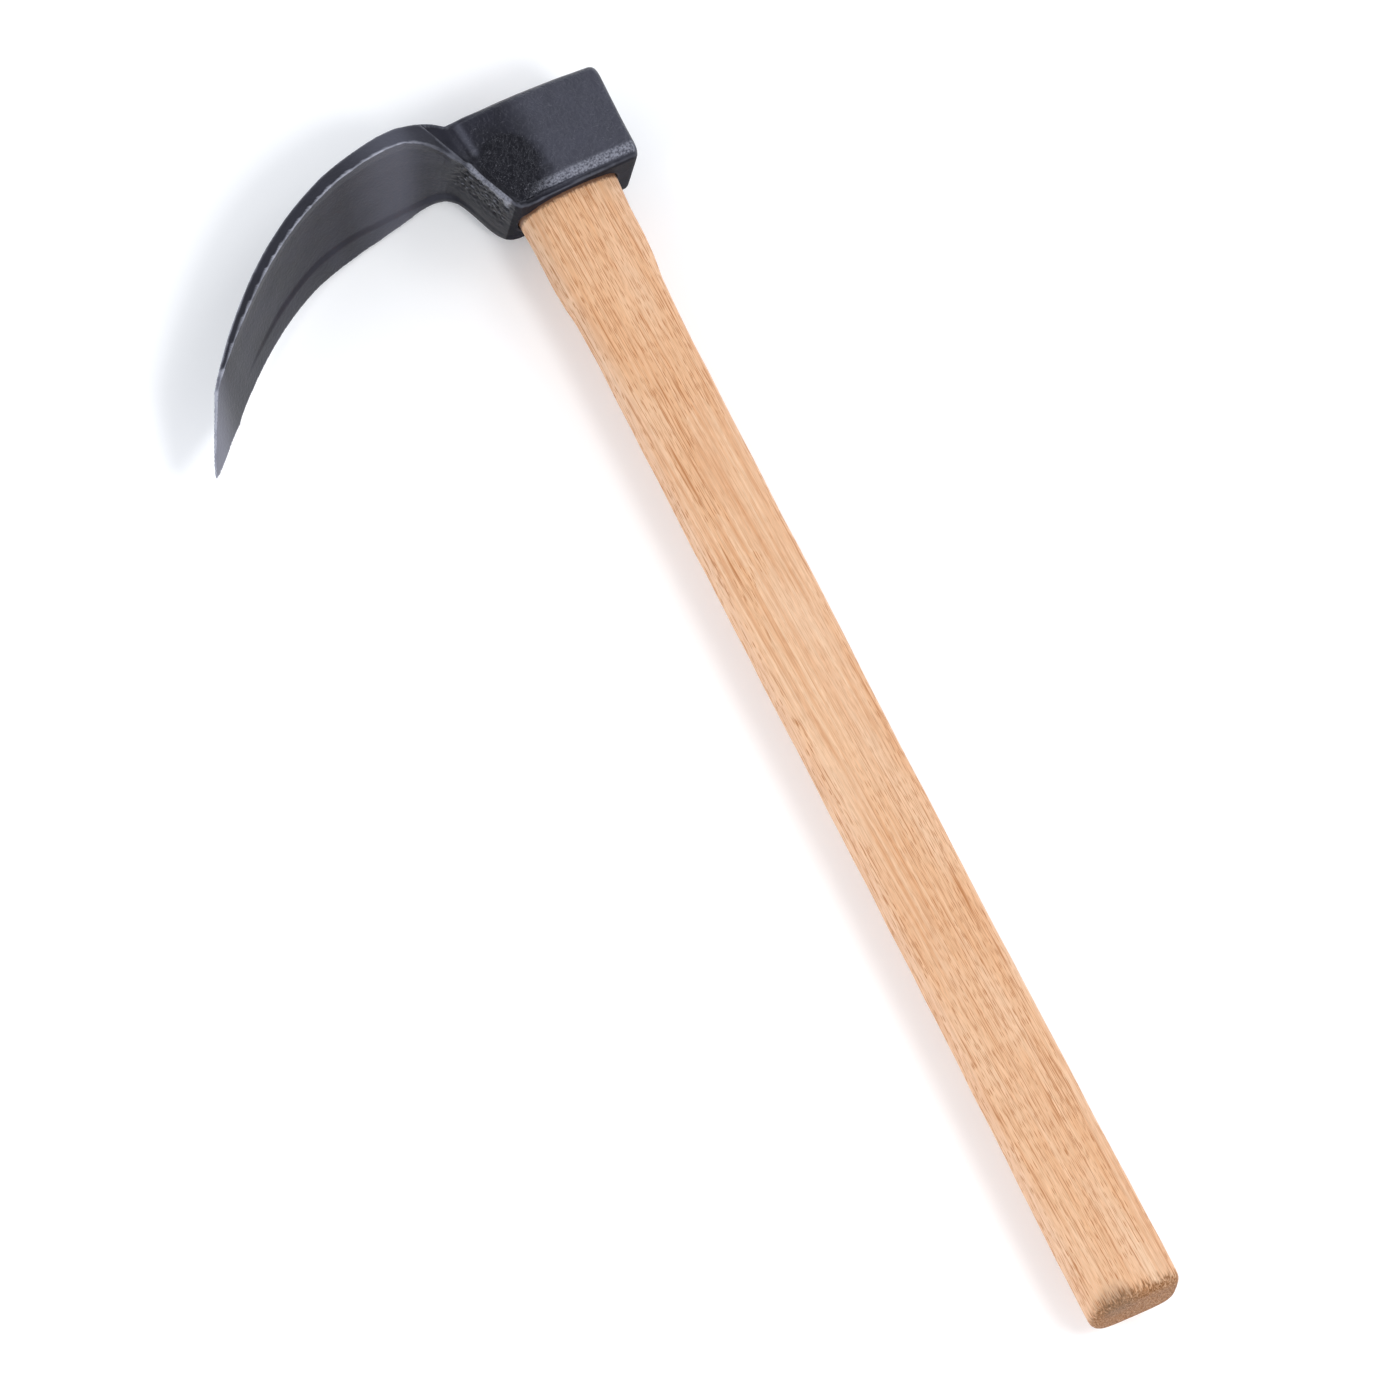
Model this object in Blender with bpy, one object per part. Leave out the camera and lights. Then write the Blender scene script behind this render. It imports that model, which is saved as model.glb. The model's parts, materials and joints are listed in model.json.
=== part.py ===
"""Draw hoe with a forged, painted steel head on a short wooden handle.

The hoe lies on its side. +X runs along the handle from the head to the butt, +Y points out of
the head's flat back, so the blade reaches towards -Y, and +Z is up. Guide sizes below are in
millimetres from the middle of the eye's lower mouth: "along" runs down the handle, "reach" runs
from the handle towards the blade, and "height" is +Z.
"""

import math
from collections import namedtuple

import bmesh
import bpy
from mathutils import Vector

MM = 0.001

# Eye block of the head
BLOCK_WIDTH = 32.0  # across the two flat sides
BLOCK_EDGE = 3.0  # radius along the block's long edges
POLL_EDGE = 2.0  # radius round the flat back face
POLL_REACH = -23.1  # the flat back face
BLOCK_BOTTOM = 0.5  # the face that the handle enters, at the poll
BLOCK_TOP = -32.3

# Eye, an oval that is narrowest a third of the way up and flares to both mouths
EYE_MOUTH = (16.8, 11.7)  # half sizes along reach and height at the lower mouth
EYE_WAIST = (16.2, 11.1)
EYE_TOP = (17.2, 12.2)
EYE_WAIST_ALONG = -11.0
EYE_SQUARENESS = 2.5  # 2 is an ellipse, and more is squarer
EYE_LEVELS = (-24.0, -17.0, EYE_WAIST_ALONG, -5.0)  # rings of the eye and the tenon between the mouths
EYE_OVERRUN = 3.0

# Blade
RIM_STEP = 1.3  # width of the slope between the hollow face and the raised far rim
HOLLOW_CURVE = ((0.04, 0.3), (0.12, 0.8), (0.35, 1.0), (0.65, 1.0), (1.0, 1.0))  # part across, part deep
TIP_WIDTH = 0.9
TIP_DEPTH = 0.6

# Handle
FIT_GAP = 0.3  # clearance between pieces that touch
HANDLE_LENGTH = 386.6  # from the level of the eye's lower mouth to the butt
BUTT_EDGE = 3.4
HANDLE_SQUARENESS = 4.2
SQUARE_BY = 30.0  # how far down the handle its section has gone from the eye's oval to its own
TENON_TOP = -32.0
TENON_SHOULDER = 2.4  # where the oval tenon gives way to the handle's own section

# Wooden wedge in the kerf, and the steel wedge across it
WEDGE_TOP_THICKNESS = 4.4
WEDGE_POINT_THICKNESS = 1.4
WEDGE_DEPTH = 22.0
WEDGE_LENGTH = 31.0
STEEL_TOP_THICKNESS = 2.4
STEEL_POINT_THICKNESS = 0.8
STEEL_DEPTH = 17.0
STEEL_LENGTH = 17.0
KERF_LENGTH = 43.0  # sawn right across the tenon
KERF_OVERRUN = 2.0

RING_SPACING = 3.6  # at most, between the head's rings
EDGE_TURNS = (22.5, 45.0, 67.5)  # degrees round a rounded edge, between its two faces
MOST_ROUND = 0.45  # an edge radius is at most this part of the side that it rounds
MOST_RIM = 0.5  # of half a section's width
MOST_STEP = 0.1
SIDE_POINTS = 3  # points on each narrow side of a head section
CORNER_POINTS = 5
OUTER_POINTS = 5
OVAL_POINTS = 40

# One cross section of the forging: where the middle of its inner face is, the heading of the
# forging there (90 is straight out from the handle, 0 is along it), its depth from the inner
# face to the outer one, its width, its cant about the heading, its edge radii, and the hollow
# of its inner face with the width of the flat rim beside it.
Section = namedtuple(
    "Section", "along reach heading depth width cant inner_edge outer_edge hollow rim"
)

BLOCK_SECTIONS = [
    Section(BLOCK_BOTTOM, POLL_REACH, 90, 31.9, BLOCK_WIDTH, 0, BLOCK_EDGE, 2.6, 0.0, 9.0),
    Section(BLOCK_BOTTOM + 0.3, -8.0, 90, 33.2, BLOCK_WIDTH, 0, BLOCK_EDGE, 2.8, 0.0, 9.0),
    Section(BLOCK_BOTTOM + 0.9, 8.0, 90, 34.1, BLOCK_WIDTH, 0, BLOCK_EDGE, 3.0, 0.0, 8.0),
    Section(BLOCK_BOTTOM + 1.3, 15.0, 88, 34.3, BLOCK_WIDTH, 0, BLOCK_EDGE, 3.0, 0.0, 6.0),
]
NECK_SECTIONS = [
    Section(0.2, 19.0, 86, 32.8, BLOCK_WIDTH, 0, 2.4, 3.0, 0.2, 4.0),
    Section(-4.4, 21.8, 85, 27.9, BLOCK_WIDTH, 0, 1.6, 2.6, 0.9, 3.4),
    Section(-11.0, 24.4, 86, 21.1, BLOCK_WIDTH, 0, 1.4, 2.2, 1.3, 3.0),
    Section(-16.2, 26.9, 89, 15.6, 31.6, 1, 1.2, 2.0, 1.4, 2.8),
    Section(-19.8, 29.8, 94, 12.5, 31.8, 5, 1.0, 1.8, 1.3, 2.7),
    Section(-22.4, 33.0, 97, 10.0, 33.2, 11, 0.8, 1.6, 1.1, 2.7),
    Section(-24.1, 36.8, 96, 8.0, 35.6, 16, 0.6, 1.4, 0.9, 3.0),
]
BLADE_SECTIONS = [
    Section(-24.8, 41.2, 89, 6.9, 37.6, 20, 0.5, 1.3, 0.9, 3.8),
    Section(-24.5, 46.4, 83, 6.4, 38.5, 22, 0.5, 1.2, 0.9, 5.0),
    Section(-23.2, 54.4, 80, 5.9, 38.8, 23, 0.5, 1.2, 0.9, 6.6),
    Section(-20.8, 65.2, 75, 5.5, 37.3, 24, 0.5, 1.2, 0.9, 8.4),
    Section(-15.6, 79.2, 66, 5.0, 33.4, 24, 0.5, 1.1, 0.9, 8.6),
    Section(-8.1, 92.4, 57, 4.3, 29.4, 24, 0.4, 1.0, 0.7, 7.8),
    Section(1.5, 105.1, 51, 3.4, 26.0, 24, 0.3, 0.7, 0.3, 7.0),
    Section(10.1, 114.6, 47, 2.3, 24.2, 24, 0.2, 0.4, 0.0, 6.4),
    Section(18.7, 122.8, 43, 1.3, 22.6, 24, 0.12, 0.25, 0.0, 6.0),
]
TIP_SECTION = Section(37.1, 135.8, 34, TIP_DEPTH, TIP_WIDTH, 24, 0.1, 0.1, 0.0, 0.2)

# Handle below the head: distance along it, half sizes along reach and height
GRIP_SECTIONS = [
    (TENON_SHOULDER, 16.3, 11.3),
    (10.0, 15.8, 11.3),
    (22.0, 15.5, 11.3),
    (29.0, 15.0, 11.2),
    (36.0, 14.1, 11.0),
    (48.0, 13.7, 10.9),
    (100.0, 13.6, 10.9),
    (190.0, 13.5, 10.9),
    (270.0, 13.6, 10.9),
    (320.0, 14.0, 11.0),
    (352.0, 14.5, 11.2),
    (HANDLE_LENGTH - BUTT_EDGE, 14.6, 11.2),
]
BUTT_DRIFT = -0.9  # how far the handle's middle wanders in reach by the butt


def spot(along, reach, height):
    """A point of the hoe, in metres."""
    return Vector((along, -reach, height)) * MM


def material(name, colour, roughness, metallic):
    made = bpy.data.materials.new(name)
    made.use_nodes = True
    shader = made.node_tree.nodes["Principled BSDF"]
    shader.inputs["Base Color"].default_value = (*colour, 1.0)
    shader.inputs["Roughness"].default_value = roughness
    shader.inputs["Metallic"].default_value = metallic
    made.diffuse_color = (*colour, 1.0)
    return made


def collection(name):
    made = bpy.data.collections.new(name)
    bpy.context.scene.collection.children.link(made)
    return made


def loft(name, rings, home, crease_angle=30):
    """A closed body through rings of equally many points, with a flat face on each end."""
    bm = bmesh.new()
    rows = [[bm.verts.new(point) for point in ring] for ring in rings]
    for row, following in zip(rows, rows[1:]):
        for i in range(len(row)):
            j = (i + 1) % len(row)
            bm.faces.new((row[i], row[j], following[j], following[i]))
    bm.faces.new(rows[0])
    bm.faces.new(rows[-1])
    bmesh.ops.recalc_face_normals(bm, faces=bm.faces)
    mesh = bpy.data.meshes.new(name)
    bm.to_mesh(mesh)
    bm.free()
    mesh.shade_smooth()
    mesh.set_sharp_from_angle(angle=math.radians(crease_angle))
    made = bpy.data.objects.new(name, mesh)
    home.objects.link(made)
    return made


def as_cutter(cutter):
    cutter.hide_render = True
    cutter.display_type = "WIRE"
    return cutter


def cut(target, cutter):
    modifier = target.modifiers.new("cut_" + cutter.name, "BOOLEAN")
    modifier.operation = "DIFFERENCE"
    modifier.solver = "EXACT"
    modifier.object = cutter


def corner(middle_across, middle_rise, radius, start):
    """A quarter circle of points in a section's own plane, starting at an angle in degrees."""
    steps = CORNER_POINTS - 1
    turns = [math.radians(start - 90 * i / steps) for i in range(CORNER_POINTS)]
    return [
        (middle_across + radius * math.cos(turn), middle_rise + radius * math.sin(turn))
        for turn in turns
    ]


def section_outline(section):
    """The section's points as (across, rise): across runs from the upper edge of the lying hoe
    to the lower one, and rise is 0 on the inner face and negative towards the outer one."""
    half = section.width / 2
    most = MOST_ROUND * min(half, section.depth)
    inner = min(section.inner_edge, most)
    outer = min(section.outer_edge, most)
    floor = -section.hollow
    rim = min(section.rim, MOST_RIM * half)
    step = min(RIM_STEP, MOST_STEP * half)
    lip = -half + inner
    slope_foot = half - rim - step
    outline = corner(lip, -inner, inner, 180)
    run = slope_foot - lip
    outline += [(lip + part * run, deep * floor) for part, deep in HOLLOW_CURVE]
    outline += [(slope_foot + step, 0.1 * floor), (half - (rim + inner) / 2, 0.0)]
    outline += corner(half - inner, -inner, inner, 90)
    side_run = section.depth - inner - outer
    sides = [(i + 1) / (SIDE_POINTS + 1) for i in range(SIDE_POINTS)]
    outline += [(half, -inner - side_run * part) for part in sides]
    outline += corner(half - outer, outer - section.depth, outer, 0)
    flat = section.width - 2 * outer
    spread = [(i + 1) / (OUTER_POINTS + 1) for i in range(OUTER_POINTS)]
    outline += [(half - outer - flat * part, -section.depth) for part in spread]
    outline += corner(outer - half, outer - section.depth, outer, -90)
    outline += [(-half, -inner - side_run * part) for part in reversed(sides)]
    return outline


def section_ring(section):
    heading = math.radians(section.heading)
    cant = math.radians(section.cant)
    inward = Vector((math.sin(heading), -math.cos(heading), 0.0))
    upward = Vector((0.0, 0.0, 1.0))
    rise_axis = inward * math.cos(cant) + upward * math.sin(cant)
    across_axis = inward * math.sin(cant) - upward * math.cos(cant)
    middle = Vector((section.along, section.reach, 0.0))
    points = [middle + across_axis * across + rise_axis * rise
              for across, rise in section_outline(section)]
    return [spot(*point) for point in points]


def between(sections, index, part):
    """The section at a part of the way from one to the next, on a Catmull-Rom curve."""
    before = sections[max(index - 1, 0)]
    start = sections[index]
    end = sections[index + 1]
    after = sections[min(index + 2, len(sections) - 1)]

    def blend(a, b, c, d):
        bend = (3 * (b - c) + d - a) * part + 2 * a - 5 * b + 4 * c - d
        return b + 0.5 * part * (c - a + part * bend)

    def ease(b, c):
        return b + (c - b) * part

    curved = [blend(*values) for values in zip(before[:4], start[:4], end[:4], after[:4])]
    eased = [ease(*values) for values in zip(start[4:], end[4:])]
    return Section(*curved, *eased)


def filled(sections, spacing):
    """The sections with more between them, no further apart than the spacing."""
    found = []
    for index in range(len(sections) - 1):
        here = Vector(sections[index][:2])
        there = Vector(sections[index + 1][:2])
        steps = max(1, math.ceil((there - here).length / spacing))
        found += [between(sections, index, step / steps) for step in range(steps)]
    return found + [sections[-1]]


def poll_sections(first):
    """The rings that round the block's edge down to its flat back face."""
    found = []
    for turn in (0.0, *EDGE_TURNS):
        angle = math.radians(turn)
        inset = POLL_EDGE * (1 - math.sin(angle))
        found.append(first._replace(
            along=first.along - inset,
            reach=first.reach + POLL_EDGE * (1 - math.cos(angle)),
            depth=first.depth - 2 * inset,
            width=first.width - 2 * inset,
        ))
    return found


def oval(along, half_reach, half_height, squareness, drift=0.0):
    power = 2 / squareness
    points = []
    for i in range(OVAL_POINTS):
        turn = 2 * math.pi * i / OVAL_POINTS
        c = math.cos(turn)
        s = math.sin(turn)
        reach = math.copysign(abs(c) ** power, c) * half_reach
        height = math.copysign(abs(s) ** power, s) * half_height
        points.append(spot(along, drift + reach, height))
    return points


def eye_half_sizes(along):
    """Half sizes of the eye at a distance along it, easing from mouth to waist to top."""
    if along > EYE_WAIST_ALONG:
        part = (along - EYE_WAIST_ALONG) / (BLOCK_BOTTOM - EYE_WAIST_ALONG)
        wide = EYE_MOUTH
    else:
        part = (EYE_WAIST_ALONG - along) / (EYE_WAIST_ALONG - BLOCK_TOP)
        wide = EYE_TOP
    return [waist + (end - waist) * part ** 2 for waist, end in zip(EYE_WAIST, wide)]


def wedge_rings(top, depth, length, thicknesses, grow=0.0, across_kerf=False):
    """Two rectangles, at the wedge's struck end and near its point."""
    rings = []
    for along, thickness in zip((top, top + depth + grow), thicknesses):
        half_length = length / 2 + grow
        half_thickness = thickness / 2 + grow
        reach, height = half_length, half_thickness
        if across_kerf:
            reach, height = height, reach
        rings.append([
            spot(along, reach, height),
            spot(along, -reach, height),
            spot(along, -reach, -height),
            spot(along, reach, -height),
        ])
    return rings


def build_head(home, guides):
    whole = filled(BLOCK_SECTIONS + NECK_SECTIONS + BLADE_SECTIONS + [TIP_SECTION], RING_SPACING)
    sections = poll_sections(whole[0]) + whole[1:]
    head = loft("head", [section_ring(section) for section in sections], home)
    levels = (BLOCK_TOP - EYE_OVERRUN, BLOCK_TOP, *EYE_LEVELS,
              BLOCK_BOTTOM, BLOCK_BOTTOM + EYE_OVERRUN)
    rings = [oval(along, *eye_half_sizes(along), EYE_SQUARENESS) for along in levels]
    cut(head, as_cutter(loft("eye_cutter", rings, guides)))
    head.data.materials.append(material("black_painted_steel", (0.02, 0.022, 0.026), 0.42, 0.0))
    return head


def tenon_rings():
    rings = []
    for along in (TENON_TOP, *EYE_LEVELS, BLOCK_BOTTOM):
        half_reach, half_height = eye_half_sizes(along)
        rings.append(oval(along, half_reach - FIT_GAP, half_height - FIT_GAP, EYE_SQUARENESS))
    return rings


def butt_rings():
    """The handle's rounded end, from its last full section to its flat face."""
    _, half_reach, half_height = GRIP_SECTIONS[-1]
    rings = []
    for turn in (*EDGE_TURNS, 90.0):
        angle = math.radians(turn)
        inset = BUTT_EDGE * (1 - math.cos(angle))
        along = HANDLE_LENGTH - BUTT_EDGE + BUTT_EDGE * math.sin(angle)
        rings.append(oval(along, half_reach - inset, half_height - inset,
                          HANDLE_SQUARENESS, BUTT_DRIFT))
    return rings


def build_handle(home, guides):
    rings = tenon_rings()
    for along, half_reach, half_height in GRIP_SECTIONS:
        drift = BUTT_DRIFT * (along / HANDLE_LENGTH) ** 2
        squared = min(1.0, along / SQUARE_BY)
        squareness = EYE_SQUARENESS + (HANDLE_SQUARENESS - EYE_SQUARENESS) * squared
        rings.append(oval(along, half_reach, half_height, squareness, drift))
    handle = loft("handle", rings + butt_rings(), home)
    slopes = (WEDGE_TOP_THICKNESS, WEDGE_POINT_THICKNESS)
    kerf = wedge_rings(TENON_TOP, WEDGE_DEPTH, KERF_LENGTH, slopes, FIT_GAP)
    lifted = [[point - spot(KERF_OVERRUN, 0, 0) for point in kerf[0]]] + kerf
    cut(handle, as_cutter(loft("kerf_cutter", lifted, guides)))
    handle.data.materials.append(material("pale_ash", (0.72, 0.50, 0.30), 0.6, 0.0))
    return handle


def build_wedges(home, guides, handle):
    slopes = (WEDGE_TOP_THICKNESS, WEDGE_POINT_THICKNESS)
    wood = loft("wooden_wedge",
                wedge_rings(TENON_TOP, WEDGE_DEPTH - FIT_GAP, WEDGE_LENGTH, slopes), home)
    wood.data.materials.append(material("hardwood_wedge", (0.55, 0.36, 0.20), 0.6, 0.0))
    slopes = (STEEL_TOP_THICKNESS, STEEL_POINT_THICKNESS)
    steel = loft("steel_wedge",
                 wedge_rings(TENON_TOP, STEEL_DEPTH, STEEL_LENGTH, slopes, 0.0, True), home)
    steel.data.materials.append(material("bare_steel", (0.45, 0.44, 0.42), 0.4, 1.0))
    slit = wedge_rings(TENON_TOP, STEEL_DEPTH, STEEL_LENGTH, slopes, FIT_GAP, True)
    lifted = [[point - spot(KERF_OVERRUN, 0, 0) for point in slit[0]]] + slit
    slit_cutter = as_cutter(loft("steel_wedge_cutter", lifted, guides))
    cut(handle, slit_cutter)
    cut(wood, slit_cutter)


def lowest_middle(pieces):
    """The middle of the bottom of the box round all the pieces."""
    bpy.context.view_layer.update()
    corners = [piece.matrix_world @ vertex.co for piece in pieces for vertex in piece.data.vertices]
    low = [min(point[axis] for point in corners) for axis in range(3)]
    high = [max(point[axis] for point in corners) for axis in range(3)]
    return Vector(((low[0] + high[0]) / 2, (low[1] + high[1]) / 2, low[2]))


for old in list(bpy.data.objects):
    bpy.data.objects.remove(old)
parts = collection("draw_hoe")
cutters = collection("cutters")
build_head(parts, cutters)
hoe_handle = build_handle(parts, cutters)
build_wedges(parts, cutters, hoe_handle)

middle = lowest_middle(parts.objects)
stand = bpy.data.objects.new("lying_hoe", None)
parts.objects.link(stand)
for piece in list(parts.objects) + list(cutters.objects):
    if piece is not stand:
        piece.parent = stand
stand.location = -middle
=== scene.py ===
import json
import math

import bpy
import numpy as np
from mathutils import Matrix, Vector


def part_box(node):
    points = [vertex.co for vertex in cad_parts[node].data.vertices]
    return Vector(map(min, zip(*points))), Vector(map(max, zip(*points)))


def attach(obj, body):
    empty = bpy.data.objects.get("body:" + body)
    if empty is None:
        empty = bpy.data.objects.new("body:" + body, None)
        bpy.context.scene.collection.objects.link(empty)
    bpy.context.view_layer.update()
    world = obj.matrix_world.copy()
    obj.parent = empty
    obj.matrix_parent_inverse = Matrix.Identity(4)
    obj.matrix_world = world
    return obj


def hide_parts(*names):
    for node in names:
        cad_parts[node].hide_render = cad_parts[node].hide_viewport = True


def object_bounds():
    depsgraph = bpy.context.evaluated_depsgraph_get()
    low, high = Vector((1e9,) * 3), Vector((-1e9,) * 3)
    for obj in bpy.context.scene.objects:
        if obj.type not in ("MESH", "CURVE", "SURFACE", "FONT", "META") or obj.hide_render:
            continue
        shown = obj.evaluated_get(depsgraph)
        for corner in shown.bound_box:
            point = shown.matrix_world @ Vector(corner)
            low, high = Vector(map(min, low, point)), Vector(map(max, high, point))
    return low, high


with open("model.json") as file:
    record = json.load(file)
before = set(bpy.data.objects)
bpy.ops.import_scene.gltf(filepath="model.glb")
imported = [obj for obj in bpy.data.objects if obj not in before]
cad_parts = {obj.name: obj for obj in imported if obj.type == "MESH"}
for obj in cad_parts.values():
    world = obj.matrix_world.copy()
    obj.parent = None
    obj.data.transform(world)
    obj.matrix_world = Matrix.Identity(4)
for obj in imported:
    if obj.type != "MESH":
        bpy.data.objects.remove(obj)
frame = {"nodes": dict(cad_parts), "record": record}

cad_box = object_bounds()

# --------------------------------------------------------------------------------------------
# Head. One piece of medium carbon steel, hot forged: a square block with the eye punched
# through it, drawn out in front into a neck and a thin, hooked and pointed blade. The hammer
# and the dies leave their marks, and the whole head is dipped in black paint.
# --------------------------------------------------------------------------------------------

MM = 0.001
HANDLE_LENGTH = 386.6  # from the eye's lower mouth to the butt, in mm
mounts = {mount["name"]: Vector(mount["pos_m"]) for mount in frame["record"]["mounts"]}
eye_mouth = Vector((
    mounts["butt_face"].x - HANDLE_LENGTH * MM,
    mounts["side_face"].y,
    mounts["butt_face"].z,
))


def guide_places(piece):
    """The points of a piece in mm from the middle of the eye's lower mouth: along the handle
    towards the butt, out towards the blade, and up."""
    flat = np.empty(len(piece.data.vertices) * 3)
    piece.data.vertices.foreach_get("co", flat)
    offset = (flat.reshape(-1, 3) - np.array(eye_mouth)) / MM
    return offset[:, 0], -offset[:, 1], offset[:, 2]


def normals_of(piece):
    """The way each point faces, in the same three directions."""
    flat = np.empty(len(piece.data.vertices) * 3)
    piece.data.vertex_normals.foreach_get("vector", flat)
    return flat.reshape(-1, 3) * (1, -1, 1)


def select_only(piece):
    bpy.ops.object.select_all(action="DESELECT")
    piece.select_set(True)
    bpy.context.view_layer.objects.active = piece


def merged_copy(node, name):
    """A new object with the mesh of a CAD node, its loose triangles merged."""
    piece = bpy.data.objects.new(name, frame["nodes"][node].data.copy())
    bpy.context.scene.collection.objects.link(piece)
    select_only(piece)
    bpy.ops.object.mode_set(mode="EDIT")
    bpy.ops.mesh.select_all(action="SELECT")
    bpy.ops.mesh.remove_doubles(threshold=0.002 * MM)
    bpy.ops.object.mode_set(mode="OBJECT")
    piece.data.materials.clear()
    return piece


def modify(piece, kind, **settings):
    """Adds a modifier and applies it."""
    modifier = piece.modifiers.new(kind.lower(), kind)
    for name, value in settings.items():
        setattr(modifier, name, value)
    select_only(piece)
    bpy.ops.object.modifier_apply(modifier=modifier.name)


def weigh(piece, name, weights):
    """A vertex group that holds one weight for each point."""
    group = piece.vertex_groups.new(name=name)
    for index in np.nonzero(weights > 0.01)[0]:
        group.add([int(index)], float(min(weights[index], 1.0)), "REPLACE")


def press(piece, group, depth):
    """Pushes the weighted points in by this many mm, or out where it is negative."""
    modify(piece, "DISPLACE", strength=-depth * MM, mid_level=0, vertex_group=group)


def roughen(piece, group, size, depth, layers=1, mid_level=0.75):
    """Lumps of this size across the weighted points, and this deep, in mm. At a mid level of
    0.75 most of them are hollows."""
    texture = bpy.data.textures.new(group + "_lumps", "CLOUDS")
    texture.noise_scale = size * MM
    texture.noise_depth = layers
    modify(piece, "DISPLACE", texture=texture, texture_coords="LOCAL", strength=depth * MM,
           mid_level=mid_level, vertex_group=group)


def smoothstep(low, high, value):
    part = np.clip((value - low) / (high - low), 0.0, 1.0)
    return part * part * (3.0 - 2.0 * part)


def near_line(places, line, width):
    """1 on a line through (along, reach) points, and 0 from this many mm away."""
    along, reach = places[0], places[1]
    nearest = np.full(len(along), 1e9)
    for (a0, r0), (a1, r1) in zip(line, line[1:]):
        run, rise = a1 - a0, r1 - r0
        part = ((along - a0) * run + (reach - r0) * rise) / (run * run + rise * rise)
        part = np.clip(part, 0.0, 1.0)
        away = np.hypot(along - a0 - part * run, reach - r0 - part * rise)
        nearest = np.minimum(nearest, away)
    return smoothstep(width, 0.0, nearest)


VOXEL = 0.51
head = merged_copy("head", "forged_head")
modify(head, "REMESH", mode="VOXEL", voxel_size=VOXEL * MM, use_smooth_shade=True)
modify(head, "SHRINKWRAP", target=frame["nodes"]["head"], wrap_method="NEAREST_SURFACEPOINT")
modify(head, "SMOOTH", factor=0.5, iterations=2)

places = guide_places(head)
along, reach, height = places
facing = normals_of(head)
EYE_REACH, EYE_HEIGHT, EYE_DEPTH = 18.0, 13.2, 33.0  # a box round the bore, in mm
in_eye = (np.abs(reach) < EYE_REACH) * (np.abs(height) < EYE_HEIGHT)
in_eye = in_eye * (along < 0.3) * (along > -EYE_DEPTH)
upper_side = smoothstep(0.5, 0.85, facing[:, 2]) * smoothstep(11.0, 14.0, height)
both_sides = smoothstep(0.55, 0.9, np.abs(facing[:, 2]))
block = smoothstep(30.0, 22.0, reach) * (1.0 - in_eye)
blade = smoothstep(34.0, 44.0, reach)
rear = block * both_sides * smoothstep(12.0, 0.0, reach)

# The last hammer blows on the upper side, as lines of (along, reach) points in mm: a ridge
# where the block runs into the neck, a crease behind it, a valley and its fillet where the neck
# leaves the block, and a scarred pocket below the ridge
ridge_line = [(-17.4, 26.2), (-12.6, 24.9), (-6.5, 22.2), (-2.2, 20.4)]
crease_line = [(-18.4, 23.8), (-12.0, 22.2), (-6.0, 19.0), (-2.4, 16.6)]
valley_line = [(-30.4, 25.7), (-25.0, 24.9), (-19.6, 24.3)]
fillet_line = [(-30.6, 23.7), (-25.0, 23.1), (-20.4, 22.4)]
pocket_line = [(-15.5, 27.4), (-9.0, 25.0), (-3.4, 22.9)]
ridge = near_line(places, ridge_line, 1.9) * smoothstep(10.0, 13.5, height)
crease = near_line(places, crease_line, 2.2) * upper_side
valley = near_line(places, valley_line, 2.8) * upper_side
pocket = near_line(places, pocket_line, 6.5) * smoothstep(15.6, 14.0, height)
pocket = np.sqrt(pocket) * smoothstep(-10.0, 0.0, height) * smoothstep(0.3, 0.5, facing[:, 1])

# Behind the ridge the side is scooped, deeper towards the ridge and the handle, and its edge
# towards the handle is rolled over
SCOOP_FALL = 18.0  # mm, from where the scoop starts to where it is deepest
ROLL = 4.6  # mm, the width of the rolled edge
scoop = np.clip((0.5 * (along + 21.0) + 0.86 * (reach - 7.0)) / SCOOP_FALL, 0.0, 1.0)
beside_ridge = smoothstep(0.0, 1.0, 24.5 - 0.42 * (along + 13.0) - reach)
rolled = np.clip((along + 5.2) / ROLL, 0.0, 1.0) ** 2 * smoothstep(19.0, 6.0, reach) * upper_side

weigh(head, "ridge", ridge)
weigh(head, "crease", crease)
weigh(head, "valley", valley)
weigh(head, "scoop", scoop * upper_side * beside_ridge)
weigh(head, "pocket", pocket)
weigh(head, "rolled_edge", rolled)
weigh(head, "block_faces", block)
weigh(head, "rear_sides", rear)
weigh(head, "blade_faces", blade * smoothstep(128.0, 105.0, reach))
press(head, "scoop", 1.5)
press(head, "crease", 0.4)
press(head, "valley", 0.9)
press(head, "rolled_edge", 1.25)
press(head, "pocket", 0.7)
press(head, "ridge", -0.6)
roughen(head, "pocket", 1.7, 1.5, layers=3, mid_level=0.5)
roughen(head, "block_faces", 12.0, 0.32)
roughen(head, "rear_sides", 2.2, 0.4, layers=2, mid_level=0.5)
roughen(head, "blade_faces", 14.0, 0.3)


def keep_in_box(piece):
    """Moves what stands outside the CAD box back onto it."""
    low, high = (np.array(corner) for corner in cad_box)
    flat = np.empty(len(piece.data.vertices) * 3)
    piece.data.vertices.foreach_get("co", flat)
    kept = np.clip(flat.reshape(-1, 3), low, high)
    piece.data.vertices.foreach_set("co", kept.ravel())
    piece.data.update()


keep_in_box(head)
select_only(head)
bpy.ops.object.shade_smooth()


def linear(colour):
    """An sRGB hex colour as the linear one that shaders take."""
    channels = [int(colour[i:i + 2], 16) / 255 for i in (1, 3, 5)]
    return (*(c / 12.92 if c <= 0.04045 else ((c + 0.055) / 1.055) ** 2.4 for c in channels), 1.0)


def feed(material, node, inputs):
    """Each input takes a value, or another node's output."""
    for name, value in inputs.items():
        if isinstance(value, bpy.types.NodeSocket):
            material.node_tree.links.new(value, node.inputs[name])
        else:
            node.inputs[name].default_value = value


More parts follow.
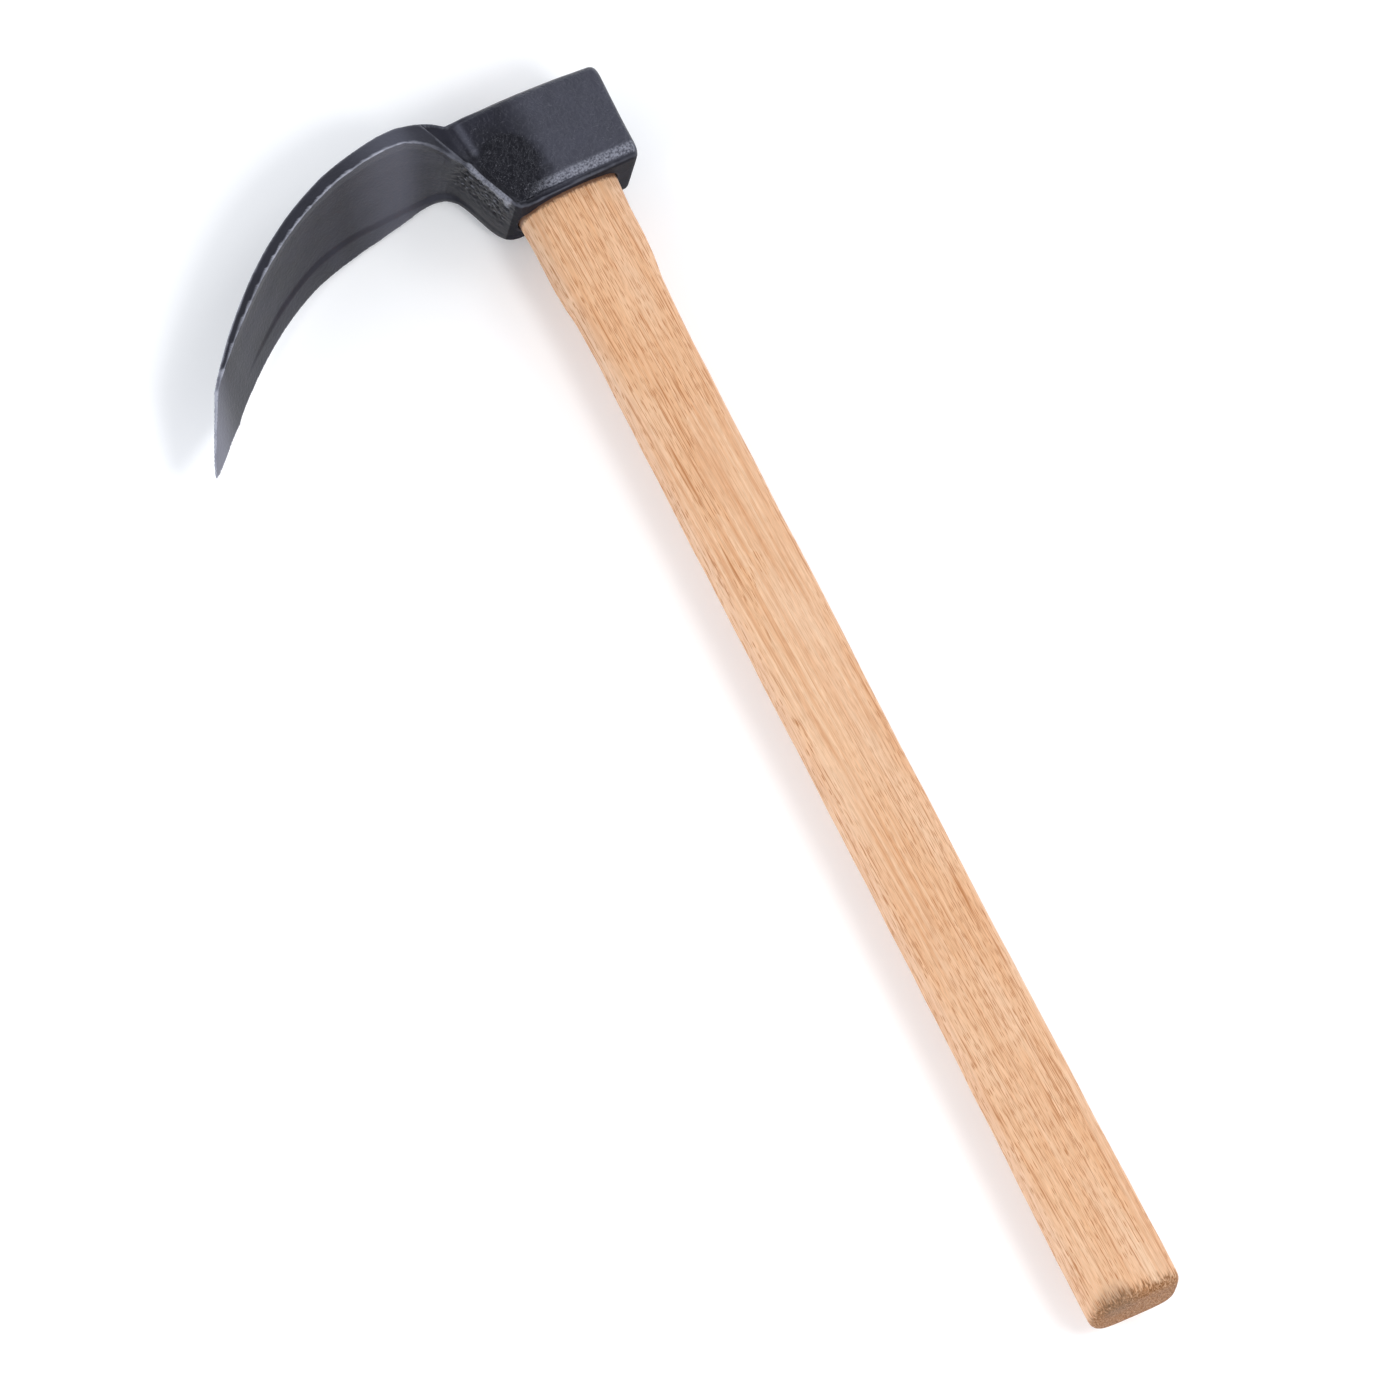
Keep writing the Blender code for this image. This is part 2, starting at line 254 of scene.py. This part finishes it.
def add(material, kind, inputs=None, output=None, stops=(), **settings):
    """Adds a shader node with its settings and links, and returns its first output, or the one
    named. The stops are a colour ramp's places and colours."""
    node = material.node_tree.nodes.new("ShaderNode" + kind)
    for name, value in settings.items():
        setattr(node, name, value)
    feed(material, node, inputs or {})
    for index, (position, colour) in enumerate(stops):
        element = node.color_ramp.elements[index]
        element.position = position
        element.color = linear(colour)
    return next(made for made in node.outputs if made.enabled and output in (None, made.name))


def new_material(name):
    material = bpy.data.materials.new(name)
    material.use_nodes = True
    return material, material.node_tree.nodes["Principled BSDF"]


def attribute(piece, name, values):
    """A value for each point that a material can read."""
    made = piece.data.attributes.new(name, "FLOAT", "POINT")
    made.data.foreach_set("value", np.clip(values, 0.0, 1.0).astype(np.float32))


def edge_sharpness(piece, rounds):
    """How far each point stands proud of its neighbours, in mm, spread over some rounds."""
    edges = np.empty(len(piece.data.edges) * 2, np.int64)
    piece.data.edges.foreach_get("vertices", edges)
    first, second = edges.reshape(-1, 2).T
    points = np.column_stack(guide_places(piece))
    neighbours = np.bincount(edges, minlength=len(points))
    averaged = points
    for _ in range(rounds):
        total = np.zeros_like(points)
        np.add.at(total, first, averaged[second])
        np.add.at(total, second, averaged[first])
        averaged = total / neighbours[:, None]
    return ((points - averaged) * normals_of(piece)).sum(axis=1)


# In the scoop an oval of painted shade, with a crisp rim towards the back of the block
# and fading out towards the handle
POOL_ALONG, POOL_REACH = -11.2, 14.6  # the oval's middle, in mm
POOL_LENGTH, POOL_WIDTH = 11.6, 9.6  # half of each
from_middle = along - POOL_ALONG, reach - POOL_REACH
pool = np.hypot(from_middle[0] / POOL_LENGTH, from_middle[1] / POOL_WIDTH)
from_rim = 1.0 + (0.94 * from_middle[0] - 0.3 * from_middle[1]) / POOL_LENGTH
softness = 0.1 + 0.3 * np.clip(from_rim, 0.0, 2.0)
painted_dark_pool = smoothstep(1.0 + softness, 1.0 - softness, pool) * upper_side * beside_ridge
below_ridge = smoothstep(0.4, 0.6, facing[:, 1]) * smoothstep(34.0, 26.0, reach) * (height < 14.0)

# Where the paint is rubbed, chipped, dull or wrinkled, and where painted highlights, painted sheen
# and painted shade go
sharpness = edge_sharpness(head, 5)
edge = smoothstep(0.1, 0.26, sharpness)
# Edges are rubbed pale and given a painted highlight, most along the blade
attribute(head, "rubbed_and_highlit_edge", edge * (0.2 + 0.75 * blade + 0.5 * pocket))
# Painted highlight along the rolled edge
attribute(head, "painted_roll_highlight", 1.8 * smoothstep(-5.0, -3.2, along) * smoothstep(-0.4, -1.5, along)
          * smoothstep(15.0, -6.0, reach) * upper_side)
mouth_face = smoothstep(0.5, 0.8, facing[:, 0]) * block
attribute(head, "dull_paint", np.maximum(smoothstep(-0.04, -0.22, sharpness) * (pocket + 0.3),
                                         np.maximum(mouth_face, 0.5 * below_ridge)))
# Worn paint and a painted highlight along the top of the ridge
attribute(head, "ridge_wear_and_highlight", 2.0 * near_line(places, ridge_line, 1.7) * (1.0 - painted_dark_pool)
          * smoothstep(12.0, 13.8, height) * smoothstep(-26.0, -5.0, along))
# Painted shade: the scoop's oval, the pocket and the side below the ridge are painted near black
attribute(head, "painted_shade", np.maximum(painted_dark_pool, np.maximum(pocket, 0.6 * below_ridge)))
attribute(head, "hammered", np.maximum(rear, (0.5 + 0.3 * painted_dark_pool) * block * both_sides))
# Painted sheen: the paint is made lighter near the neck, on the back of the block, along the
# fillet and towards the point, where light is reflected
painted_sheen_mask = 0.3 * rear + smoothstep(119.0, 132.0, reach) + 0.4 * blade * smoothstep(66.0, 44.0, reach)
attribute(head, "painted_sheen", painted_sheen_mask + 0.35 * near_line(places, fillet_line, 1.8) * upper_side)
# Paint chips and a painted highlight at the end of the ridge
attribute(head, "chips_and_highlight", near_line(places, [(-1.9, 21.3), (-0.7, 23.2)], 1.8) * (height > 9.0))

# Black stoving paint, dipped over forged steel: near black with a violet cast, semi-gloss and
# faintly pebbled. It is glossier and painted near black as painted shade in the scoop, the pocket
# and below the ridge, dull in the pits and by the handle, painted lighter as painted sheen near
# the neck, on the back of the block and along the fillet and as a painted reflection towards the
# point, and rubbed and given painted highlights in a pale line along the edges.
CLOUD = 9.09  # mm, drifts in the paint's tone
RAGGED = 3.03  # mm, the uneven rim of the painted shade
paint, shader = new_material("black_stoving_paint_dipped_on_forged_steel")
where = add(paint, "TexCoord", output="Object")
clouds = add(paint, "TexNoise", {"Vector": where, "Scale": 1 / (CLOUD * MM), "Detail": 4.0})
tone = add(paint, "ValToRGB", {"Fac": clouds}, stops=[(0.35, "#131319"), (0.7, "#1f1f28")])
# Painted sheen and painted reflection, a lighter grey
painted_sheen_mask = add(paint, "Attribute", output="Fac", attribute_name="painted_sheen")
tone = add(paint, "Mix", {"Factor": painted_sheen_mask, "A": tone, "B": linear("#62636f")}, data_type="RGBA")
painted_dark_pool = add(paint, "Attribute", output="Fac", attribute_name="painted_shade")
ragged = add(paint, "TexNoise", {"Vector": where, "Scale": 1 / (RAGGED * MM), "Detail": 4.0})
painted_dark_pool = add(paint, "Math", {0: ragged, 1: painted_dark_pool}, operation="ADD")
painted_dark_pool = add(paint, "MapRange", {"Value": painted_dark_pool, "From Min": 0.7, "From Max": 1.3})
# Painted shade, near black
tone = add(paint, "Mix", {"Factor": painted_dark_pool, "A": tone, "B": linear("#08080d")}, data_type="RGBA")

SCRATCH = 3.5  # mm, about the length of the worn and highlit stretches along an edge
SPECK = 0.7  # mm, chips and dust specks, which also break up the painted highlights
rub_and_glint = add(paint, "TexNoise", {"Vector": where, "Scale": 1 / (SCRATCH * MM), "Detail": 3.0})
rub_and_glint = add(paint, "MapRange", {"Value": rub_and_glint, "From Min": 0.35, "From Max": 0.6,
                              "To Min": 0.45, "To Max": 0.95})
edge = add(paint, "Attribute", output="Fac", attribute_name="rubbed_and_highlit_edge")
edge = add(paint, "Math", {0: edge, 1: rub_and_glint}, operation="MULTIPLY")
speck = add(paint, "TexNoise", {"Vector": where, "Scale": 1 / (SPECK * MM), "Detail": 3.0})
# Wear and painted highlights on the edges, the ridge, the rolled edge and the chip, broken up by
# specks
worn_and_highlit = edge
for name, low, high, most in (("ridge_wear_and_highlight", 0.2, 0.6, 0.55), ("painted_roll_highlight", 0.34, 0.6, 0.5),
                              ("chips_and_highlight", 0.36, 0.5, 1.0)):
    place = add(paint, "Attribute", output="Fac", attribute_name=name)
    broken = add(paint, "MapRange", {"Value": speck, "From Min": low, "From Max": high,
                                     "To Max": most})
    place = add(paint, "Math", {0: place, 1: broken}, operation="MULTIPLY")
    worn_and_highlit = add(paint, "Math", {0: worn_and_highlit, 1: place}, operation="MAXIMUM")
# Pale worn paint and painted highlights
tone = add(paint, "Mix", {"Factor": worn_and_highlit, "A": tone, "B": linear("#a3a5b0")}, data_type="RGBA")

gloss = add(paint, "MapRange", {"Value": clouds, "To Min": 0.26, "To Max": 0.4})
gloss = add(paint, "Math", {0: painted_dark_pool, 1: -0.08, 2: gloss}, operation="MULTIPLY_ADD")
dull = add(paint, "Attribute", output="Fac", attribute_name="dull_paint")
gloss = add(paint, "Math", {0: dull, 1: 0.3, 2: gloss}, operation="MULTIPLY_ADD")
mirror = add(paint, "MapRange", {"Value": dull, "To Min": 0.5, "To Max": 0.12})
PEBBLE = 1.1  # mm, the orange peel of the paint
WRINKLE = 1.9  # mm, the marks of the last hammer blows
FINE = 0.45  # mm, dust under the paint
pebble = add(paint, "TexNoise", {"Vector": where, "Scale": 1 / (PEBBLE * MM), "Detail": 4.0})
wrinkle = add(paint, "TexNoise", {"Vector": where, "Scale": 1 / (WRINKLE * MM), "Detail": 2.0,
                                  "Distortion": 1.4})
hammered = add(paint, "Attribute", output="Fac", attribute_name="hammered")
wrinkle = add(paint, "Math", {0: wrinkle, 1: hammered}, operation="MULTIPLY")
fine = add(paint, "TexNoise", {"Vector": where, "Scale": 1 / (FINE * MM), "Detail": 2.0})
relief = add(paint, "Math", {0: wrinkle, 1: 8.0, 2: pebble}, operation="MULTIPLY_ADD")
relief = add(paint, "Math", {0: fine, 1: 0.45, 2: relief}, operation="MULTIPLY_ADD")
bump = add(paint, "Bump", {"Height": relief, "Strength": 0.7, "Distance": 0.13 * MM})
feed(paint, shader, {"Base Color": tone, "Roughness": gloss, "Normal": bump, "IOR": 1.42,
                     "Specular IOR Level": mirror, "Specular Tint": (0.86, 0.87, 1.0, 1.0)})
head.data.materials.append(paint)

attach(head, "root")
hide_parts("head")

# --------------------------------------------------------------------------------------------
# Handle. One length of ash, split along the grain, shaped to a rounded rectangle and sanded. Its
# oval tenon fills the eye, swells behind the block, and the butt has a rounded rim.
# --------------------------------------------------------------------------------------------

HANDLE_VOXEL = 0.72
handle = merged_copy("handle", "ash_handle")
modify(handle, "REMESH", mode="VOXEL", voxel_size=HANDLE_VOXEL * MM, use_smooth_shade=True)
modify(handle, "SHRINKWRAP", target=frame["nodes"]["handle"], wrap_method="NEAREST_SURFACEPOINT")
modify(handle, "SMOOTH", factor=0.5, iterations=6)
along, reach, height = guide_places(handle)
below_eye = smoothstep(4.0, 12.0, along) * smoothstep(HANDLE_LENGTH, HANDLE_LENGTH - 6.0, along)
weigh(handle, "grip", below_eye)
roughen(handle, "grip", 22.0, 0.5, mid_level=0.62)
keep_in_box(handle)
select_only(handle)
bpy.ops.object.shade_smooth()

# Ash, sanded bare: growth rings cut flat along the upper side, so that it shows one broad band
# of open pores, as short tan dashes, with smooth streaked wood beside it.
RING_WIDTH = 4.6  # mm
EARLY_WOOD = 3.9, 2.6  # mm into a ring, where its open-pored part has ended and starts to end
WANDER = 3.2  # mm, how far a ring strays along the handle
PITH = (0.0, 4.0, -60.0)  # mm from the eye's mouth, so the handle was split well off the middle
GRAIN_TURN = (0.0, math.radians(1.0), math.radians(-2.2))

ash, shader = new_material("ash_wood_sanded")
where = add(ash, "TexCoord", output="Object")
grain = add(ash, "Mapping", {"Vector": where, "Scale": (1 / MM,) * 3, "Rotation": GRAIN_TURN,
                             "Location": -eye_mouth / MM})


def drawn_out(material, grain, size, detail=2.0):
    """Noise whose lumps are this many mm along the grain and across it."""
    stretched = add(material, "VectorMath", {0: grain, 1: size}, operation="DIVIDE")
    return add(material, "TexNoise", {"Vector": stretched, "Scale": 1.0, "Detail": detail})


across = add(ash, "VectorMath", {0: grain, 1: (0, 1, 1), 2: [-value for value in PITH]},
             operation="MULTIPLY_ADD")
radius = add(ash, "VectorMath", {0: across}, output="Value", operation="LENGTH")
radius = add(ash, "Math", {0: drawn_out(ash, grain, (80, 14, 14)), 1: WANDER, 2: radius},
             operation="MULTIPLY_ADD")
ring = add(ash, "Math", {0: radius, 1: RING_WIDTH}, operation="FLOORED_MODULO")
early = add(ash, "MapRange", {"Value": ring, "From Min": EARLY_WOOD[0], "From Max": EARLY_WOOD[1]},
            interpolation_type="SMOOTHSTEP")

streaks = drawn_out(ash, grain, (70, 1.4, 1.4), 3.0)
tone = add(ash, "ValToRGB", {"Fac": streaks}, stops=[(0.36, "#ce9669"), (0.66, "#e3ba94")])
tone = add(ash, "Mix", {"Factor": early, "A": tone, "B": linear("#ddab7f")}, data_type="RGBA")
tone = add(ash, "Mix", {"Factor": 0.55, "A": tone,
                        "B": add(ash, "ValToRGB", {"Fac": streaks},
                                 stops=[(0.3, "#d0996d"), (0.7, "#e5be9a")])}, data_type="RGBA")
patches = add(ash, "MapRange", {"Value": drawn_out(ash, grain, (45, 8, 8)), "From Min": 0.42,
                                "From Max": 0.7, "To Max": 0.5})
tone = add(ash, "Mix", {"Factor": patches, "A": tone, "B": linear("#e4c09f")}, data_type="RGBA")
lines = add(ash, "MapRange", {"Value": drawn_out(ash, grain, (30, 0.4, 0.8), 1.0),
                              "From Min": 0.56, "From Max": 0.7, "To Max": 0.85})
fibres = add(ash, "MapRange", {"Value": drawn_out(ash, grain, (5, 0.3, 0.3)), "From Min": 0.3,
                               "From Max": 0.7, "To Min": 0.9, "To Max": 1.08})

# Pores are tubes that the surface cuts at a slant. Each cell of a stretched pattern holds one,
# and half of a pore is given beside its cell, in mm, with how dark it gets. Real ones are half
# as wide, which would be too fine to show.
dashes = lines
for cell, half, most in (((4.6, 0.75, 0.8), (2.0, 0.18, 0.7), 0.9),
                         ((8.5, 1.1, 1.0), (4.0, 0.18, 0.8), 0.9)):
    spread = add(ash, "VectorMath", {0: grain, 1: cell}, operation="DIVIDE")
    middle = add(ash, "TexVoronoi", {"Vector": spread, "Scale": 1.0, "Randomness": 0.85},
                 output="Position")
    lot = add(ash, "SeparateColor", {"Color": middle.node.outputs["Color"]})
    lot = add(ash, "MapRange", {"Value": lot, "From Max": 0.8, "To Min": 0.1, "To Max": most})
    away = add(ash, "VectorMath", {0: spread, 1: middle}, operation="SUBTRACT")
    away = add(ash, "VectorMath", {0: away, 1: [c / h for c, h in zip(cell, half)]},
               operation="MULTIPLY")
    away = add(ash, "VectorMath", {0: away}, output="Value", operation="LENGTH")
    dash = add(ash, "MapRange", {"Value": away, "From Min": 1.0, "From Max": 0.35},
               interpolation_type="SMOOTHSTEP")
    dash = add(ash, "Math", {0: dash, 1: lot}, operation="MULTIPLY")
    dashes = add(ash, "Math", {0: dashes, 1: dash}, operation="MAXIMUM")
open_share = add(ash, "MapRange", {"Value": early, "To Min": 0.4, "To Max": 0.95})
dashes = add(ash, "Math", {0: dashes, 1: open_share}, operation="MULTIPLY")
tone = add(ash, "VectorMath", {0: tone, "Scale": fibres}, operation="SCALE")
tone = add(ash, "Mix", {"Factor": dashes, "A": tone, "B": linear("#a8672f")}, data_type="RGBA")

# End grain drinks the dirt of the bench: the butt is browner and duller than the sides, frays
# into them along the fibres, is dotted with pores, and is greyer in a spot at one edge
FRAY = 11.0  # mm, how unevenly the brown starts
place = add(ash, "SeparateXYZ", {"Vector": where})
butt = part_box("handle")[1].x
frayed = add(ash, "Math", {0: drawn_out(ash, grain, (9, 0.7, 0.7)), 1: FRAY * MM, 2: place},
             operation="MULTIPLY_ADD")
end = add(ash, "MapRange", {"Value": frayed, "From Min": butt + 0.5 * MM,
                            "From Max": butt + 5.0 * MM}, interpolation_type="SMOOTHSTEP")
dots = add(ash, "MapRange", {"Value": drawn_out(ash, grain, (2.0, 0.5, 0.5)),
                             "From Min": 0.42, "From Max": 0.6, "To Min": 0.6})
end = add(ash, "Math", {0: end, 1: dots}, operation="MULTIPLY")
tone = add(ash, "Mix", {"Factor": end, "A": tone, "B": linear("#7a5233")}, data_type="RGBA")
butt_grey_spot = add(ash, "VectorMath", {0: where, 1: (butt - 1.5 * MM, mounts["butt_face"].y - 7.5 * MM,
                                              mounts["butt_face"].z + 8 * MM)},
            output="Value", operation="DISTANCE")
butt_grey_spot = add(ash, "MapRange", {"Value": butt_grey_spot, "From Min": 9 * MM, "From Max": 2 * MM,
                              "To Max": 0.6}, interpolation_type="SMOOTHSTEP")
butt_grey_spot = add(ash, "Math", {0: butt_grey_spot, 1: dots}, operation="MULTIPLY")
tone = add(ash, "Mix", {"Factor": butt_grey_spot, "A": tone, "B": linear("#6d5a49")}, data_type="RGBA")

# A brown line of rust and paint, and painted shadow, where the wood leaves the eye, a little off
# square
MOUTH_SLOPE = 0.035
leaving = add(ash, "VectorMath", {0: where, 1: (1.0, MOUTH_SLOPE, 0.0)}, output="Value",
              operation="DOT_PRODUCT")
ragged = add(ash, "TexNoise", {"Vector": grain, "Scale": 1.1, "Detail": 2.0})
leaving = add(ash, "Math", {0: ragged, 1: -1.8 * MM, 2: leaving}, operation="MULTIPLY_ADD")
mouth = eye_mouth.x + MOUTH_SLOPE * eye_mouth.y
mouth_rust_and_shadow = add(ash, "MapRange", {"Value": leaving, "From Min": mouth + 1.7 * MM,
                              "From Max": mouth + 0.5 * MM, "To Max": 0.9},
            interpolation_type="SMOOTHSTEP")
# Painted shadow and rust at the eye's mouth
tone = add(ash, "Mix", {"Factor": mouth_rust_and_shadow, "A": tone, "B": linear("#5c3822")}, data_type="RGBA")

rough = add(ash, "MapRange", {"Value": dashes, "To Min": 0.5, "To Max": 0.75})
mirror = add(ash, "MapRange", {"Value": end, "From Max": 0.6, "To Min": 0.5, "To Max": 0.05})
relief = add(ash, "Math", {0: dashes, 1: -1.0, 2: fibres}, operation="MULTIPLY_ADD")
bump = add(ash, "Bump", {"Height": relief, "Strength": 0.5, "Distance": 0.1 * MM})
feed(ash, shader, {"Base Color": tone, "Roughness": rough, "Specular IOR Level": mirror,
                   "Normal": bump})
handle.data.materials.append(ash)
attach(handle, "root")
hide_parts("handle")

# --------------------------------------------------------------------------------------------
# Wooden wedge. A slip of beech, split and pared to a taper, driven into the slot sawn across
# the tenon so that the wood fills the eye. Its struck end is bruised end grain.
# --------------------------------------------------------------------------------------------

wooden_wedge = merged_copy("wooden_wedge", "beech_wedge")
WOOD_WEDGE_VOXEL = 0.3
modify(wooden_wedge, "BEVEL", width=0.35 * MM, segments=2, limit_method="ANGLE")
modify(wooden_wedge, "REMESH", mode="VOXEL", voxel_size=WOOD_WEDGE_VOXEL * MM,
       use_smooth_shade=True)
modify(wooden_wedge, "SMOOTH", factor=0.5, iterations=2)
along, reach, height = guide_places(wooden_wedge)
weigh(wooden_wedge, "struck_end", smoothstep(-29.0, -31.5, along))
roughen(wooden_wedge, "struck_end", 2.2, 0.5, layers=2)
keep_in_box(wooden_wedge)
select_only(wooden_wedge)
bpy.ops.object.shade_smooth()

# Beech, pared and left bare: pink-tan, even, with short dark ray flecks along the grain that
# turn to fine radial lines on the end.
beech, shader = new_material("beech_wood_pared")
where = add(beech, "TexCoord", output="Object")
grain = add(beech, "Mapping", {"Vector": where, "Scale": (1 / MM,) * 3})
tone = add(beech, "ValToRGB", {"Fac": drawn_out(beech, grain, (20, 1.2, 0.6))},
           stops=[(0.35, "#b98a64"), (0.68, "#d9af88")])
flecks = add(beech, "MapRange", {"Value": drawn_out(beech, grain, (2.0, 1.6, 0.22), 1.0),
                                 "From Min": 0.56, "From Max": 0.68, "To Max": 0.7})
tone = add(beech, "Mix", {"Factor": flecks, "A": tone, "B": linear("#85583a")}, data_type="RGBA")
rough = add(beech, "MapRange", {"Value": flecks, "To Min": 0.55, "To Max": 0.8})
bump = add(beech, "Bump", {"Height": drawn_out(beech, grain, (3, 0.4, 0.3)), "Strength": 0.5,
                           "Distance": 0.1 * MM})
feed(beech, shader, {"Base Color": tone, "Roughness": rough, "Normal": bump})
wooden_wedge.data.materials.append(beech)
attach(wooden_wedge, "root")
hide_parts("wooden_wedge")

# --------------------------------------------------------------------------------------------
# Steel wedge. A small tapered slip sheared from mild steel bar and driven across the wooden
# one, which locks it. The hammer has rounded and dimpled its struck end.
# --------------------------------------------------------------------------------------------

steel_wedge = merged_copy("steel_wedge", "sheared_steel_wedge")
STEEL_WEDGE_VOXEL = 0.22
modify(steel_wedge, "BEVEL", width=0.3 * MM, segments=2, limit_method="ANGLE")
modify(steel_wedge, "REMESH", mode="VOXEL", voxel_size=STEEL_WEDGE_VOXEL * MM,
       use_smooth_shade=True)
modify(steel_wedge, "SMOOTH", factor=0.5, iterations=2)
along, reach, height = guide_places(steel_wedge)
weigh(steel_wedge, "peened_end", smoothstep(-29.5, -31.6, along))
roughen(steel_wedge, "peened_end", 1.5, 0.45, layers=1)
keep_in_box(steel_wedge)
select_only(steel_wedge)
bpy.ops.object.shade_smooth()

# Mild steel, sheared and hammered: grey with darker mill scale, dull bright spots where the
# hammer struck, and a bloom of brown rust.
SCALE_FLAKE = 2.22  # mm
RUST_BLOOM = 3.85  # mm
GRIT = 0.625  # mm
steel, shader = new_material("mild_steel_sheared_and_peened")
where = add(steel, "TexCoord", output="Object")
scale = add(steel, "TexNoise", {"Vector": where, "Scale": 1 / (SCALE_FLAKE * MM), "Detail": 4.0})
tone = add(steel, "ValToRGB", {"Fac": scale}, stops=[(0.38, "#5d5c5e"), (0.62, "#a3a2a3")])
bloom = add(steel, "TexNoise", {"Vector": where, "Scale": 1 / (RUST_BLOOM * MM), "Detail": 5.0})
bloom = add(steel, "MapRange", {"Value": bloom, "From Min": 0.52, "From Max": 0.66,
                                "To Max": 0.75})
tone = add(steel, "Mix", {"Factor": bloom, "A": tone, "B": linear("#6b4026")}, data_type="RGBA")
metal = add(steel, "MapRange", {"Value": bloom, "To Min": 1.0, "To Max": 0.1})
rough = add(steel, "MapRange", {"Value": scale, "To Min": 0.28, "To Max": 0.6})
grit = add(steel, "TexNoise", {"Vector": where, "Scale": 1 / (GRIT * MM), "Detail": 3.0})
bump = add(steel, "Bump", {"Height": grit, "Strength": 0.4, "Distance": 0.08 * MM})
feed(steel, shader, {"Base Color": tone, "Roughness": rough, "Metallic": metal, "Normal": bump})
steel_wedge.data.materials.append(steel)
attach(steel_wedge, "root")
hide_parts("steel_wedge")

# --------------------------------------------------------------------------------------------
# Table top, light and camera. The hoe lies on its side on a white, softly lit table, and is
# seen from almost overhead.
# --------------------------------------------------------------------------------------------

TABLE = 6.0  # m, wide enough to reach past the picture from every side
bpy.ops.mesh.primitive_plane_add(size=TABLE, location=(0, 0, cad_box[0].z - 0.1 * MM))
table_top = bpy.context.object
table_top.name = "table_top"

# White laminate with a satin face, lit a little from below so that shadows stay pale
white, shader = new_material("white_laminate_satin")
feed(white, shader, {"Base Color": linear("#fafafa"), "Roughness": 0.6, "Specular IOR Level": 0.2,
                     "Emission Color": (0.92, 0.97, 1.0, 1.0), "Emission Strength": 0.1})
table_top.data.materials.append(white)

VIEW_FROM = Vector((0.256, -0.236, 0.937)).normalized()
HANDLE_SLANT = math.radians(27.1)
FRAME_WIDTH = 0.42
CAMERA_DISTANCE = 14.0  # far off with a long lens, so that the hoe looks flat
SENSOR = 36.0
aim = eye_mouth + Vector((0.160, -0.034, 0.0))
down_handle = (Vector((1, 0, 0)) - VIEW_FROM * VIEW_FROM.x).normalized()
to_blade = VIEW_FROM.cross(down_handle)
to_blade *= -math.copysign(1.0, to_blade.y)
picture_right = math.sin(HANDLE_SLANT) * down_handle - math.cos(HANDLE_SLANT) * to_blade
picture_up = -math.cos(HANDLE_SLANT) * down_handle - math.sin(HANDLE_SLANT) * to_blade
camera = bpy.data.objects.new("camera", bpy.data.cameras.new("camera"))
camera.data.sensor_width = SENSOR
camera.data.lens = SENSOR * CAMERA_DISTANCE / FRAME_WIDTH
camera.data.clip_end = 100.0
camera.matrix_world = Matrix.Translation(aim + VIEW_FROM * CAMERA_DISTANCE) @ Matrix(
    (picture_right, picture_up, VIEW_FROM)
).transposed().to_4x4()
bpy.context.scene.collection.objects.link(camera)
bpy.context.scene.camera = camera


SOFTBOX_DISTANCE = 1.6


def softbox(name, direction, size, radiance):
    """A square diffuser this many metres wide that faces the object from this direction."""
    lamp = bpy.data.objects.new(name, bpy.data.lights.new(name, "AREA"))
    lamp.data.size = size
    lamp.data.energy = radiance * math.pi * size * size
    way = Vector(direction).normalized()
    lamp.location = way * SOFTBOX_DISTANCE
    lamp.rotation_euler = way.to_track_quat("Z", "Y").to_euler()
    bpy.context.scene.collection.objects.link(lamp)


softbox("softbox_handle_side", (0.40, 0.24, 0.88), 0.38, 15.0)
softbox("softbox_blade_side", (0.05, -0.65, 0.75), 0.36, 8.0)
softbox("softbox_above", (-0.2, 0.62, 0.92), 0.45, 3.2)

# Pale studio walls all round, and a darker ceiling that keeps the paint black
WALLS, CEILING = 1.72, 0.42
world = bpy.data.worlds.new("studio")
world.use_nodes = True
way_up = add(world, "SeparateXYZ", {"Vector": add(world, "TexCoord", output="Generated")},
             output="Z")
light = add(world, "MapRange", {"Value": way_up, "To Min": WALLS, "To Max": CEILING})
feed(world, world.node_tree.nodes["Background"], {"Color": (0.94, 0.97, 1.03, 1.0),
                                                  "Strength": light})
bpy.context.scene.world = world
bpy.context.scene.view_settings.view_transform = "Standard"
